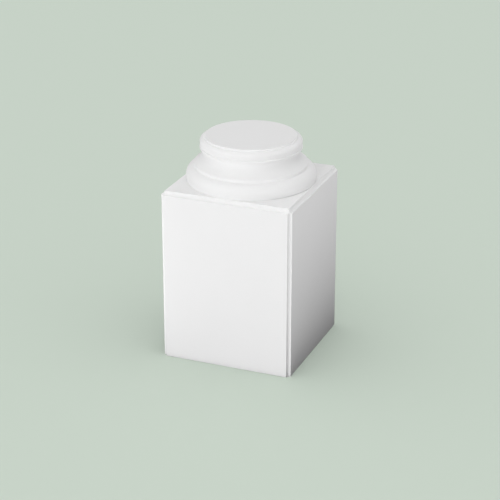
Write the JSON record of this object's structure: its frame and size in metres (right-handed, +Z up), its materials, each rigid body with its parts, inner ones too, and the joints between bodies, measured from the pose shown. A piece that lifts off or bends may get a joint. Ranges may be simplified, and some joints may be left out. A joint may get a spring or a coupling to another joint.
{
  "type": "column base",
  "caption": "Square coved pedestal block with a turned Attic base on top, whose flat round seat carries a column shaft.",
  "frame": {"origin": "centre of the block's underside, on the floor", "axes": "+Z up the column's axis; X and Y square to the block's faces"},
  "size_m": [0.32, 0.32, 0.5223],
  "materials": {
    "block_primer": "white primer on rigid moulding foam, matt",
    "base_primer": "white primer on rigid moulding foam, matt"
  },
  "bodies": {
    "root": {"pedestal_block": "block_primer", "attic_base": "base_primer"}
  },
  "joints": []
}
